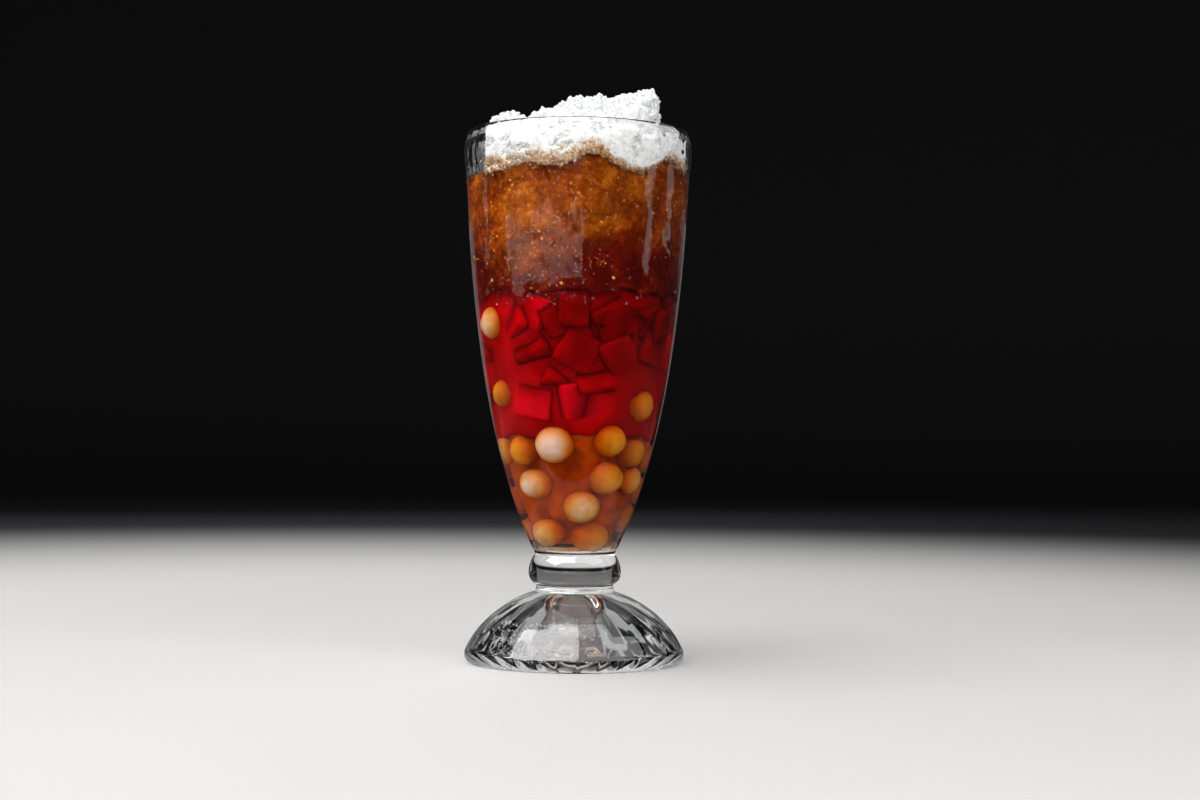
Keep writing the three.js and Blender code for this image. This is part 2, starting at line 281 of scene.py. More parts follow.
def ball(level):
    """Points and faces of a unit ball: an icosahedron with each face cut in four this many times."""
    points, faces = (part.tolist() for part in ICOSA)
    for _ in range(level):
        middles = {}

        def middle(a, b):
            key = (min(a, b), max(a, b))
            if key not in middles:
                spot = np.array(points[a]) + points[b]
                middles[key] = len(points)
                points.append((spot / np.linalg.norm(spot)).tolist())
            return middles[key]

        faces = [
            part
            for a, b, c in faces
            for ab, bc, ca in [(middle(a, b), middle(b, c), middle(c, a))]
            for part in ((a, ab, ca), (b, bc, ab), (c, ca, bc), (ab, bc, ca))
        ]
    return np.array(points), np.array(faces)


def copies(shape, centres, sizes, rng, jitter=0.0):
    """One joined mesh of a shape, turned at random and scaled by sizes (one or three to each copy)."""
    points, faces = shape
    turns = rng.normal(size=(len(centres), 4))
    w, x, y, z = (turns / np.linalg.norm(turns, axis=1)[:, None]).T
    spin = np.stack([
        np.stack([1 - 2 * (y * y + z * z), 2 * (x * y - z * w), 2 * (x * z + y * w)], -1),
        np.stack([2 * (x * y + z * w), 1 - 2 * (x * x + z * z), 2 * (y * z - x * w)], -1),
        np.stack([2 * (x * z - y * w), 2 * (y * z + x * w), 1 - 2 * (x * x + y * y)], -1)], axis=1)
    local = points[None] * (1 + jitter * rng.uniform(-1, 1, (len(centres), len(points), 1)))
    local = np.einsum("nij,npj->npi", spin, local * np.asarray(sizes)[:, None, :])
    placed = (local + np.asarray(centres)[:, None, :]).reshape(-1, 3)
    firsts = np.arange(len(centres)) * len(points)
    joined = (faces[None] + firsts[:, None, None]).reshape(-1, faces.shape[1])
    return placed, joined


def scatter(points, faces, count, rng, wanted):
    """Random spots on a body's four-sided faces, by area times how much wanted(middle) asks for."""
    corners = points[np.array([face for face in faces if len(face) == 4])]
    across = np.cross(corners[:, 2] - corners[:, 0], corners[:, 3] - corners[:, 1])
    weight = np.linalg.norm(across, axis=1) * wanted(corners.mean(axis=1))
    a, b, c, d = corners[rng.choice(len(corners), count, p=weight / weight.sum())].transpose(1, 0, 2)
    u, v = rng.uniform(size=(2, count, 1))
    return lerp(lerp(a, b, u), lerp(d, c, u), v)


# Materials


class Shader:
    """A material and the node calls that the drink's materials share."""

    def __init__(self, name):
        self.material = bpy.data.materials.new(name)
        self.material.use_nodes = True
        self.tree = self.material.node_tree
        self.surface = self.tree.nodes["Principled BSDF"]
        self.output = self.tree.nodes["Material Output"]
        self.place = self.node("ShaderNodeTexCoord").outputs["Object"]

    def node(self, kind, **settings):
        made = self.tree.nodes.new(kind)
        for key, value in settings.items():
            setattr(made, key, value)
        return made

    def link(self, source, target):
        self.tree.links.new(source, target)

    def put(self, target, value):
        if isinstance(value, bpy.types.NodeSocket):
            self.link(value, target)
        else:
            target.default_value = value

    def set(self, **values):
        """Sets the Principled shader's inputs, with _ for a space."""
        for key, value in values.items():
            self.put(self.surface.inputs[key.replace("_", " ")], value)

    def tone(self):
        """The tone that the mesh carries."""
        return self.node("ShaderNodeAttribute", attribute_name="tone").outputs["Fac"]

    def mottled_tone(self, size, detail):
        """The tone that the mesh carries, made uneven over features of this size in millimetres."""
        return self.maths("ADD", self.tone(), self.spread(self.noise(size, detail), 0.3, 0.7, -0.12, 0.12))

    def noise(self, size, detail=3.0, roughness=0.5, distortion=0.0, stretch=(1, 1, 1)):
        """Noise with features of this size in millimetres."""
        mapping = self.node("ShaderNodeMapping")
        mapping.inputs["Scale"].default_value = stretch
        self.link(self.place, mapping.inputs["Vector"])
        made = self.node("ShaderNodeTexNoise")
        self.link(mapping.outputs[0], made.inputs["Vector"])
        made.inputs["Scale"].default_value = 1 / (size * MM)
        made.inputs["Detail"].default_value = detail
        made.inputs["Roughness"].default_value = roughness
        made.inputs["Distortion"].default_value = distortion
        return made.outputs["Fac"]

    def ramp(self, value, stops):
        """A colour ramp through (place, colour) stops."""
        made = self.node("ShaderNodeValToRGB")
        self.link(value, made.inputs["Fac"])
        elements = made.color_ramp.elements
        while len(elements) < len(stops):
            elements.new(0.5)
        for element, (place, colour) in zip(elements, stops):
            element.position = place
            element.color = (*colour, 1)
        return made.outputs["Color"]

    def spread(self, value, low, high, to_low=0.0, to_high=1.0):
        """A value brought from one range into another, and held inside it."""
        made = self.node("ShaderNodeMapRange", clamp=True)
        self.put(made.inputs["Value"], value)
        for key, number in zip(("From Min", "From Max", "To Min", "To Max"), (low, high, to_low, to_high)):
            made.inputs[key].default_value = number
        return made.outputs["Result"]

    def along(self, axis):
        """The place along the part's X, Y or Z in millimetres."""
        apart = self.node("ShaderNodeSeparateXYZ")
        self.link(self.place, apart.inputs[0])
        return self.maths("MULTIPLY", apart.outputs[axis], 1 / MM)

    def maths(self, operation, a, b=0.0):
        made = self.node("ShaderNodeMath", operation=operation)
        self.put(made.inputs[0], a)
        self.put(made.inputs[1], b)
        return made.outputs[0]

    def mix(self, factor, a, b):
        """Two colours mixed by a factor."""
        made = self.node("ShaderNodeMix", data_type="RGBA")
        self.put(made.inputs["Factor"], factor)
        self.put(made.inputs[6], a if isinstance(a, bpy.types.NodeSocket) else (*a, 1))
        self.put(made.inputs[7], b if isinstance(b, bpy.types.NodeSocket) else (*b, 1))
        return made.outputs[2]

    def milky(self, weight, scale, radius):
        """Light that spreads under the surface, over this many millimetres times each colour's radius."""
        self.set(Subsurface_Weight=weight, Subsurface_Scale=scale * MM)
        self.surface.inputs["Subsurface Radius"].default_value = radius

    def relief(self, height, depth):
        """Low relief of this depth in millimetres."""
        made = self.node("ShaderNodeBump")
        made.inputs["Distance"].default_value = depth * MM
        self.link(height, made.inputs["Height"])
        self.link(made.outputs["Normal"], self.surface.inputs["Normal"])

    def let_lamps_through(self, tint, clear_below=None):
        """Clear to the rays that look for lamps, so that what is inside is lit. Where clear_below is 1 it is
        clear to all light that the floor gives back, so that it throws no bright patches on the floor."""
        path = self.node("ShaderNodeLightPath")
        let_through = path.outputs["Is Shadow Ray"]
        if clear_below is not None:
            given_back = self.maths("MULTIPLY", path.outputs["Is Diffuse Ray"], clear_below)
            let_through = self.maths("MAXIMUM", let_through, given_back)
        clear = self.node("ShaderNodeBsdfTransparent")
        self.put(clear.inputs["Color"], tint)
        mixed = self.node("ShaderNodeMixShader")
        self.link(let_through, mixed.inputs[0])
        self.link(self.surface.outputs[0], mixed.inputs[1])
        self.link(clear.outputs[0], mixed.inputs[2])
        self.link(mixed.outputs[0], self.output.inputs["Surface"])

    def absorb(self, colour, density):
        """Light taken up on its way through the body, by the metre."""
        inside = self.node("ShaderNodeVolumeAbsorption")
        inside.inputs["Color"].default_value = (*colour, 1)
        inside.inputs["Density"].default_value = density
        self.link(inside.outputs[0], self.output.inputs["Volume"])


def film_shine(shader, height):
    """The glass's shine, duller where a film of cold wet lies in streaks round the upper bowl."""
    streaks = shader.spread(shader.noise(4.5, detail=3, stretch=(1, 1, 0.4)), 0.3, 0.7, -14, 14)
    film = shader.spread(shader.maths("ADD", height, streaks), 158, 161)
    film = shader.maths("MULTIPLY", film, shader.spread(height, 172, 178, 1, 0))
    film = shader.maths("MULTIPLY", film, shader.spread(shader.along("X"), 8, 16, 1, 0))
    spots = shader.spread(shader.noise(2.2, detail=3, stretch=(1, 1, 0.6)), 0.57, 0.6)
    spots = shader.maths("MULTIPLY", spots, shader.spread(height, 125, 145))
    return shader.mix(shader.maths("MAXIMUM", film, spots), (1, 1, 1), (0.15, 0.15, 0.15))


def clear_glass(name, shines):
    """Pressed clear glass, slightly wavy. It shines in the air, and not where the drink wets it. Its foot
    throws a light grey shadow."""
    shader = Shader(name)
    height = shader.along("Z")
    shader.set(Base_Color=(0.985, 0.995, 0.99, 1), Roughness=0.0, IOR=1.5, Transmission_Weight=1.0,
               Specular_Tint=film_shine(shader, height) if shines else (0, 0, 0, 1))
    waves = shader.noise(6, detail=2, stretch=(1, 1, 0.5))
    waves = shader.maths("MULTIPLY", waves, shader.spread(height, 122, 135))
    shader.relief(shader.maths("ADD", shader.maths("MULTIPLY", shader.noise(9, detail=2), 0.15), waves), 0.33)
    foot = shader.spread(height, 24, 40, 1, 0)
    shader.let_lamps_through(shader.mix(foot, (0.97, 0.98, 0.98), (0.74, 0.75, 0.76)), foot)
    return shader.material


def dew():
    """Clear water."""
    shader = Shader("dew")
    shader.set(Base_Color=(1, 1, 1, 1), Roughness=0.0, IOR=1.33, Transmission_Weight=1.0)
    shader.let_lamps_through((1, 1, 1, 1))
    return shader.material


def brown_syrup():
    """Clear brown sugar syrup, darker the deeper one looks into it. It meets no air at the wall, so it
    hardly shines there."""
    shader = Shader("brown_syrup")
    shader.set(Base_Color=(1, 1, 1, 1), Roughness=0.0, IOR=1.36, Transmission_Weight=1.0,
               Specular_Tint=(0, 0, 0, 1))
    shader.let_lamps_through((1, 1, 1, 1))
    shader.absorb((0.95, 0.77, 0.45), 400)
    return shader.material


def sago():
    """Milky pearls from brown to cream, by their tone, which carries each pearl's own paleness together with
    painted shade and painted light.
    """
    shader = Shader("sago")
    colour = shader.ramp(shader.mottled_tone(3.5, detail=3), [
        (0.0, (0.3, 0.105, 0.004)), (0.4, (0.57, 0.23, 0.007)),
        (0.7, (0.57, 0.335, 0.085)), (1.0, (0.62, 0.47, 0.48))])
    shader.set(Base_Color=colour, Roughness=0.3, Specular_IOR_Level=0.05)
    shader.milky(0.7, 6, (1.0, 0.7, 0.45))
    shader.relief(shader.noise(1.2, detail=2), 0.08)
    return shader.material


def gulaman():
    """Red jelly from nearly black to bright, by its tone, which carries painted light and shade, with paler
    and darker patches.
    """
    shader = Shader("gulaman")
    colour = shader.ramp(shader.mottled_tone(7, detail=2), [
        (0.0, (0.09, 0.0, 0.0)), (0.3, (0.22, 0.0, 0.001)), (0.6, (0.38, 0.0, 0.006)),
        (1.0, (0.7, 0.003, 0.05))])
    shader.set(Base_Color=colour, Roughness=0.4, Specular_IOR_Level=0.0)
    shader.milky(0.9, 9, (1.0, 0.1, 0.12))
    shader.relief(shader.noise(2.5, detail=2), 0.1)
    return shader.material


def syrup_slush():
    """Fine ice soaked in brown syrup, in golden and brown patches. It is dark where its tone is 1, and most
    golden where its tone is -1, with painted light that pales it where its tone is below 0."""
    shader = Shader("syrup_slush")
    patches = shader.noise(9, detail=3, roughness=0.55, distortion=0.4)
    specks = shader.spread(shader.noise(1.8, detail=4, roughness=0.65), 0.3, 0.75, -0.14, 0.14)
    # Painted light: where the tone is below 0 the slush is painted paler and more golden
    glow = shader.spread(shader.tone(), -1, 0, 0.14, 0)
    uneven = shader.maths("ADD", patches, shader.maths("ADD", specks, glow))
    pale = shader.ramp(uneven, [
        (0.3, (0.11, 0.022, 0.001)), (0.48, (0.2, 0.05, 0.002)),
        (0.62, (0.31, 0.1, 0.004)), (0.8, (0.5, 0.22, 0.03))])
    dark = shader.ramp(uneven, [
        (0.35, (0.06, 0.001, 0.0)), (0.6, (0.12, 0.003, 0.001)), (0.8, (0.26, 0.04, 0.005))])
    shader.set(Base_Color=shader.mix(shader.tone(), pale, dark), Roughness=0.5, Specular_IOR_Level=0.05)
    shader.milky(0.3, 2, (1.0, 0.6, 0.25))
    shader.relief(shader.noise(1.2, detail=3), 0.25)
    return shader.material


def slush_grains():
    """Milky ice grains with a little syrup in them."""
    shader = Shader("slush_grains")
    colour = shader.ramp(shader.noise(2, detail=2), [(0.35, (0.5, 0.2, 0.03)), (0.65, (0.85, 0.55, 0.22))])
    shader.set(Base_Color=colour, Roughness=0.3, Specular_IOR_Level=0.2)
    shader.milky(0.4, 1, (1.0, 0.2, 0.1))
    return shader.material


def shaved_ice():
    """White crumbly ice, with painted shade that makes it greyer below the rim, behind the glass, than above
    it, and tan with brown specks where its tone says that it has soaked up syrup."""
    shader = Shader("shaved_ice")
    specks = shader.spread(shader.noise(0.9, detail=4, roughness=0.75), 0.35, 0.68, -0.45, 0.45)
    specks = shader.maths("MULTIPLY", specks, shader.spread(shader.tone(), 0, 0.5))
    soaked = shader.maths("ADD", shader.tone(), specks)
    lumps = shader.noise(2, detail=4, roughness=0.75)
    dry = shader.ramp(lumps, [
        (0.32, (0.65, 0.67, 0.69)), (0.44, (0.8, 0.81, 0.82)), (0.6, (0.92, 0.92, 0.92))])
    # A greyer copy of the white: painted shade for the ice below the rim
    wet = shader.ramp(lumps, [
        (0.32, (0.42, 0.43, 0.44)), (0.44, (0.6, 0.6, 0.6)), (0.58, (0.74, 0.735, 0.73))])
    white = shader.mix(shader.spread(shader.along("Z"), 186, RIM_Z), wet, dry)
    stain = shader.ramp(soaked, [
        (0.2, (0.55, 0.49, 0.43)), (0.55, (0.44, 0.29, 0.17)),
        (0.85, (0.34, 0.17, 0.06)), (1.0, (0.17, 0.06, 0.015))])
    colour = shader.mix(shader.spread(soaked, 0.1, 0.6), white, stain)
    shader.set(Base_Color=colour, Roughness=0.4, Specular_IOR_Level=0.4)
    shader.milky(0.35, 2, (1.0, 0.95, 0.9))
    shader.relief(shader.noise(0.8, detail=3), 0.3)
    return shader.material


def floor_paint():
    """Plain paper, from pale to dark grey by its tone."""
    shader = Shader("floor_paint")
    pale = shader.ramp(shader.noise(600, detail=2), [(0.3, (0.66, 0.65, 0.64)), (0.7, (0.7, 0.69, 0.68))])
    shader.set(Base_Color=shader.mix(shader.tone(), pale, (0.035, 0.035, 0.038)), Roughness=0.65,
               Specular_IOR_Level=0.0)
    return shader.material


# The glass

BAND_TOP = (38.8, 5)
DOME_TOP = (14.8, 25)
NECK = (13.9, 27.9)
WAIST = (14.5, 38.4)
DOME = [BAND_TOP, (35, 13.8), (25.3, 21.9), DOME_TOP]
DOME_LINE = bezier(DOME, 60)

# Where dew lies: how many drops, from which height to which, and which share at the front's left
DEW_BANDS = [(2400, 126, 178, 0.5), (1200, BAND_TOP[1] + 0.5, 16, 0.85)]


def bowl_loss(angles, z):
    """The share of its radius that the bowl loses to its panels, which fade out at both ends."""
    flatness = BOWL_FLATNESS * smoothstep(z, BOWL_FOOT_Z, 75) * (1 - smoothstep(z, 110, BOWL_TOP_Z + 1))
    return flatness * panel_loss(angles, BOWL_PANELS)


def foot_loss(angles, z):
    """The share that the foot loses to its panels, which end sharply at the band and fade out at the neck."""
    flatness = FOOT_FLATNESS * (z > BAND_TOP[1] + 0.2) * (1 - smoothstep(z, 16, DOME_TOP[1]))
    return flatness * panel_loss(angles, FOOT_PANELS)


def cavity_line(wall_steps, floor_steps):
    """The cavity's outline from the lip down the wall to the middle of its floor."""
    heights = np.linspace(LIP_Z, CAVITY_WALL_Z, wall_steps, endpoint=False)
    wall = np.column_stack([inner_radius(heights), heights])
    corner = (float(inner_radius(CAVITY_WALL_Z)), CAVITY_WALL_Z)
    floor = bezier([corner, (10.5, CAVITY_FLOOR_Z), (0, CAVITY_FLOOR_Z)], floor_steps)
    return np.vstack([wall, floor, [(0, CAVITY_FLOOR_Z)]])


CAVITY = cavity_line(200, 30)


def make_glass(material, wet_material):
    """The glass, with its own material for the inside of the wall where the drink wets it."""
    stretches = [
        ([(0, FOOT_HOLLOW_Z), (12, FOOT_HOLLOW_Z - 0.5), (REST_INNER_R, 0.6)], 24),
        ([(REST_INNER_R, 0.6), (REST_INNER_R + 0.2, 0), (REST_INNER_R + 1, 0)], 4),
        ([(REST_INNER_R + 1, 0), (REST_OUTER_R, 0)], 2),
        ([(REST_OUTER_R, 0), (39.2, 0.6), (40, 3.2), BAND_TOP], 14),
        (DOME, 60),
        ([DOME_TOP, (13.7, 25.4), NECK], 10),
        ([NECK, (18.1, 29.3), (16.6, 35.6), WAIST], 28),
        ([WAIST, (14.4, 39.8), BOWL[0]], 8),
        (BOWL, 80),
        (FLARE, 16),
        ([FLARE[-1], (39.6, RIM_Z + 0.9), (38, RIM_Z + 0.8), (LIP_INNER_R, LIP_Z)], 18),
    ]
    angles = circle(SEGMENTS)
    outside = np.vstack([bezier(controls, steps) for controls, steps in stretches])
    foot = (outside[:, 1] < DOME_TOP[1]) & (outside[:, 0] > DOME_TOP[0])
    rings = []
    for (r, z), on_foot in zip(outside, foot):
        loss = foot_loss(angles, z) if on_foot else bowl_loss(angles, z)
        rings.append(around(r * (1 - loss), angles, z))
    rings += [around(r, angles, z) for r, z in cavity_line(70, 16)]
    points, faces = skin((0, 0, FOOT_HOLLOW_Z), rings[1:-1], (0, 0, CAVITY_FLOOR_Z))
    piece = make_piece("drink_glass", points, faces, material)
    piece.data.materials.append(wet_material)
    x, y, z = np.array([points[list(face)].mean(axis=0) for face in faces]).T
    wet = (np.hypot(x, y) < inner_radius(z) + 1) & (z > CAVITY_FLOOR_Z - 1) & (z < slush_top(x, y))
    piece.data.polygons.foreach_set("material_index", wet.astype(np.int32))
    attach(piece, "root")
    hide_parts("glass")


def make_dew(material):
    """Small drops of dew on the cold upper part of the bowl and on the foot, thickest at the front left."""
    rng = np.random.default_rng(5)
    groups = []
    for count, low, high, near in DEW_BANDS:
        angles = np.where(rng.uniform(size=count) < near, rng.normal(math.radians(-17), 0.3, count),
                          rng.uniform(0, 2 * math.pi, count))
        heights = rng.uniform(low, high, count)
        radii = 0.12 + 0.35 * rng.uniform(size=count) ** 5 + 0.3 * (rng.uniform(size=count) > 0.99)
        if low > BOWL_FOOT_Z:
            wall = outer_radius(heights) * (1 - bowl_loss(angles, heights))
        else:
            dome_radius = np.interp(heights, DOME_LINE[:, 1], DOME_LINE[:, 0])
            wall = dome_radius * (1 - foot_loss(angles, heights))
        groups.append((around(wall - 0.4 * radii, angles, heights), radii))
    centres = np.vstack([centres for centres, _ in groups])
    radii = np.concatenate([radii for _, radii in groups])
    large = radii > 0.25
    for name, shape, chosen in (("dew", ICOSA, ~large), ("dew_drops", ball(1), large)):
        piece = make_piece(name, *copies(shape, centres[chosen], radii[chosen][:, None], rng), material)
        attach(piece, "root")


# The syrup


def make_syrup(material):
    """The syrup round everything below the ice, from the cavity's floor to the top of the slush."""
    floor = CAVITY[CAVITY[:, 1] <= CAVITY_WALL_Z][::-1]

    def bottom(x, y):
        return np.interp(np.hypot(x, y), floor[:, 0], floor[:, 1]) - INTO_WALL

    def reach(z, angles):
        return inner_radius(z) + INTO_WALL

    points, faces = layer(bottom, slush_top, reach, rings=24, rows=90, segments=150)
    piece = make_piece("syrup", points, faces, material)
    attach(piece, "root")


# Sago pearls


def ball_reach(ball_r, z):
    """The farthest from the axis that a ball of this radius can lie at this height."""
    reach = float(inner_radius(z))
    while reach > 0 and np.hypot(CAVITY[:, 0] - reach, CAVITY[:, 1] - z).min() < ball_r - PRESSED:
        reach -= 0.05
    return reach


def flank(angles):
    """1 at the left and right edges that the photo shows, 0 in front and behind."""
    return bump(np.abs(np.sin(angles)) - 1, 0.15)


def make_pearl(degrees, z, r, tone):
    """A pearl against the wall, as its radius, centre and tone."""
    return r, around(ball_reach(r, z), math.radians(degrees), z), tone


def heap_pearls():
    """The pearls at the wall as the CAD has them, and then others behind them."""
    draw, tones = Draws(11), Draws(5)
    pearls = [make_pearl(*pearl) for pearl in FRONT_PEARLS]

    def clear_of_all(r, centre, apart):
        return all(np.linalg.norm(centre - other) > r + other_r + apart for other_r, other, _ in pearls)

    lowest = CAVITY_FLOOR_Z + PEARL_R + PEARL_SPREAD_R + GAP
    for z in np.arange(lowest, PEARLS_TOP_Z - PEARL_R, 1.7):
        for degrees in range(60, 305, 7):
            r = PEARL_R + PEARL_SPREAD_R * draw.spread()
            r, centre, tone = make_pearl(degrees, z + draw(), r, 0.2 + 0.6 * tones())
            if clear_of_all(r, centre, 0.5) and centre[2] + r < PEARLS_TOP_Z:
                pearls.append((r, centre, tone))
    tries = 60
    for z in np.arange(lowest, PEARLS_TOP_Z - PEARL_R / 2, 1.3):
        for index in range(tries):
            reach = max(ball_reach(PEARL_R, z) - 4, 0.1)
            centre = around(reach * math.sqrt((index + 0.5) / tries), index * GOLDEN_ANGLE + z, z)
            if clear_of_all(PEARL_R, centre, -0.3):
                # The pearls behind are painted paler: painted light where little lamp light reaches so deep in
                # the syrup
                pearls.append((PEARL_R, centre, 0.7 + 0.3 * tones()))
    return pearls


def pearl_core():
    """The heap's uneven middle, well behind the pearls that show, and nearer the wall at the flanks."""

    def bottom(x, y):
        return np.full_like(x, CAVITY_FLOOR_Z + 3)

    def top(x, y):
        return PEARLS_TOP_Z - 2.5 + 2 * flat_noise(x, y, 7, 2, 91)

    def reach(z, angles):
        uneven = 1.2 * rough_noise(around(25.0, angles, z), 7, 2, 92)
        return inner_radius(z) - 8 + 3 * flank(angles) + uneven

    return layer(bottom, top, reach, rings=8, rows=24, segments=90)


def make_pearls(material):
    """The heap and the strays: dented balls, each with painted shade on its inner side."""
    strays = [make_pearl(*pearl) for pearl in STRAY_PEARLS]
    heaps = (("pearls", heap_pearls(), ["sago_pearls"]), ("stray_pearls", strays, STRAY_NODES))
    for name, pearls, nodes in heaps:
        rng = np.random.default_rng(4)
        centres = np.array([centre for _, centre, _ in pearls])
        radii = np.array([r for r, _, _ in pearls])
        sizes = radii[:, None] * rng.uniform(0.95, 1.0, (len(radii), 3))
        points, faces = copies(ball(3), centres, sizes, rng)
        owners = np.repeat(np.arange(len(pearls)), len(points) // len(pearls))
        points += (points - centres[owners]) * (0.025 * rough_noise(points, 4.5, 2, 4))[:, None]
        away = (points - centres[owners]) / radii[owners][:, None]
        outwards = centres[owners] / np.hypot(*centres[owners][:, :2].T)[:, None]
        facing = (away[:, :2] * outwards[:, :2]).sum(axis=1)
        tone = np.array([tone for _, _, tone in pearls])[owners]
        # Painted shade: each pearl is darker on its side away from the wall
        tone = tone * lerp(0.45, 1.0, smoothstep(facing, -0.2, 0.75))
        faces = faces.tolist()
        if pearls is not strays:
            core_points, core_faces = pearl_core()
            faces += [tuple(int(corner) + len(points) for corner in face) for face in core_faces]
            points = np.vstack([points, core_points])
            # The core's low tone is painted shade deep in the heap, and it is lower still at the right flank,
            # more painted shade
            right = flank(np.arctan2(core_points[:, 0], -core_points[:, 1])) * (core_points[:, 0] > 0)
            tone = np.append(tone, 0.32 - 0.3 * right + 0.3 * rough_noise(core_points, 5, 2, 93))
        piece = make_piece(name, points, faces, material, tone=tone)
        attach(piece, "root")
        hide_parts(*nodes)
    return strays


# Gulaman cubes


def jelly_cube(sides, turn):
    """Points and faces of a block with soft edges and slightly bulging faces."""
    steps = 8
    grid = np.sin(np.linspace(-1, 1, steps) * math.pi / 2)
    u, v = (a.ravel() for a in np.meshgrid(grid, grid, indexing="ij"))
    points, faces = [], []
    for axis in range(3):
        for side in (-1, 1):
            spots = np.empty((steps * steps, 3))
            spots[:, axis] = side
            spots[:, (axis + 1) % 3] = u * side
            spots[:, (axis + 2) % 3] = v
            base = len(points) * steps * steps
            points.append(spots)
            for a in range(steps - 1):
                for b in range(steps - 1):
                    corner = base + a * steps + b
                    faces.append((corner, corner + steps, corner + steps + 1, corner + 1))
    points = np.vstack(points)
    power = 9
    length = (np.abs(points) ** power).sum(axis=1) ** (1 / power)
    return (points / length[:, None]) * (np.array(sides) / 2) @ turn.T, np.array(faces)


def turned(x, y, z):
    """The turn about X, then Y, then Z."""
    return np.array(Matrix.Rotation(z, 3, "Z") @ Matrix.Rotation(y, 3, "Y") @ Matrix.Rotation(x, 3, "X"))


def cube_place(draw, angle, z):
    """Sides, turn and centre of a cube, moved in until its corners are inside the wall and the layer."""
    sides = np.array([CUBE_SIDE + CUBE_SPREAD * draw.spread() for _ in range(3)])
    tilts = [CUBE_TILT * draw.spread() for _ in range(3)]
    turn = turned(tilts[0], tilts[1], angle + tilts[2])
    corners = (np.array(list(np.ndindex(2, 2, 2))) - 0.5) * sides @ turn.T
    low = PEARLS_TOP_Z + GAP - corners[:, 2].min()
    high = GULAMAN_TOP_Z - corners[:, 2].max()
    centre = around(float(inner_radius(z)), angle, min(max(z, low), high))
    inwards = around(-0.25, angle, 0)
    while (np.hypot(*(corners + centre)[:, :2].T) > inner_radius((corners + centre)[:, 2]) - GAP).any():
        centre = centre + inwards
    return sides, turn, centre


def gulaman_places(strays):
    """The cubes at the wall, as the CAD has them, without those that a stray pearl pushes away."""
    rows, pitch, pearl_to_cube = (91, 101.5, 112, 122, 130), 12.6, CUBE_SIDE * 0.55
    draw = Draws(29)
    places = []
    for row, z in enumerate(rows):
        count = int(2 * math.pi * (inner_radius(z) - CUBE_SIDE / 2) / pitch)
        for index in range(count):
            angle = (index + (row % 2) / 2) / count * 2 * math.pi
            height = z + (draw() - 0.5) * 3
            place = cube_place(draw, angle, height)
            if all(np.linalg.norm(centre - place[2]) >= r + pearl_to_cube for r, centre, _ in strays):
                places.append(place)
    return places


def jelly_light_and_shade(centre):
    """Painted light and shade on the cubes: painted light at the left's top and at the front's bottom, and
    painted shade that makes the ones at the right dark.
    """
    degrees = math.degrees(math.atan2(centre[0], -centre[1]))
    lit_left_top = 0.28 * bump(degrees + 42, 18) * bump(centre[2] - 122, 9)
    lit_left_low = 0.5 * bump(degrees + 48, 20) * bump(centre[2] - 93, 7)
    lit_front_low = 0.7 * bump(degrees - 8, 20) * bump(centre[2] - 92, 8)
    # Painted shade on the cubes at the right
    right = 0.11 * bump(degrees - 60, 45)
    return 0.37 + lit_left_top + lit_left_low + lit_front_low - right


def gulaman_core():
    """The heap's middle, which sinks in between the pearls below it."""

    def bottom(x, y):
        return PEARLS_TOP_Z - 4.5 + 2 * flat_noise(x, y, 7, 2, 23)

    def top(x, y):
        return np.full_like(x, GULAMAN_TOP_Z + 1)

    def reach(z, angles):
        low = 6.5 - 2.5 * flank(angles)
        return inner_radius(z) - lerp(low, 4.6, smoothstep(z, 83, 90)) - 2 * smoothstep(z, 124, 131)

    return layer(bottom, top, reach, rings=8, rows=30, segments=150)


def make_gulaman(strays, material):
    """The cubes round a core painted brighter, as painted light where little lamp light reaches in between the
    cubes.
    """
    core_points, core_faces = gulaman_core()
    points, faces = [core_points], list(core_faces)
    # The core's tone is raised by 0.25: painted light between the cubes
    tone = [[jelly_light_and_shade(point) + 0.25 for point in core_points]]
    count = len(core_points)
    draw = Draws(3)
    for sides, turn, centre in gulaman_places(strays):
        cube_points, cube_faces = jelly_cube(sides, turn)
        points.append(cube_points + centre)
        faces += (cube_faces + count).tolist()
        tone.append([jelly_light_and_shade(centre) + 0.18 * draw.spread()] * len(cube_points))
        count += len(cube_points)
    piece = make_piece("gulaman", np.vstack(points), faces, material, tone=np.concatenate(tone))
    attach(piece, "root")
    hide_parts("gulaman_cubes")


# The slush


def slush_top(x, y):
    """The slush's top: a wavy edge with a crest just right of the front and another at the right, and a
    dip between them under the ice lumps."""
    degrees = np.degrees(np.arctan2(x, -y))
    outwards = np.hypot(x, y) / LIP_INNER_R
    left = 2.3 * bump(degrees + 25, 13)
    middle = 5.1 * bump(degrees - 9, 12)
    right = 4.8 * bump(degrees - 55, 13) - 0.6 * bump(degrees - 34, 8) + 2.4 * bump(degrees - 85, 20)
    back = 1.3 * np.cos(np.radians(3 * degrees)) * smoothstep(np.abs(degrees), 90, 150)
    return SLUSH_EDGE_Z + (left + middle + right + back) * outwards


def murk(angles, z):
    """How dark the slush is: 1 in its lower part and 0 above, with the turn lower down at the front's left."""
    uneven = 5 * rough_noise(around(36.0, angles, z), 11, 3, 44)
    front_left = 12 * bump(np.cos(angles + 0.6) - 1, 0.2)
    return 1 - smoothstep(z + uneven - 3 * np.sin(angles - 0.6) + front_left, 143, 162)


def golden(angles, z):
    """A painted pool of light: the slush is painted most golden high up at the front's left, where the key
    lamp shines on it.
    """
    return bump(np.degrees(angles) + 24, 16) * bump(z - 162, 8)


def slush_depth(z, angles):
    """How deep behind the wall the slush's thick part lies."""
    spots = around(36.0, angles, z)
    uneven = 1.1 * rough_noise(spots, 10, 3, 14) + 0.5 * rough_noise(spots, 2.6, 2, 17)
    return np.maximum(2.2 + 1.4 * murk(angles, z) + uneven, 0.25)


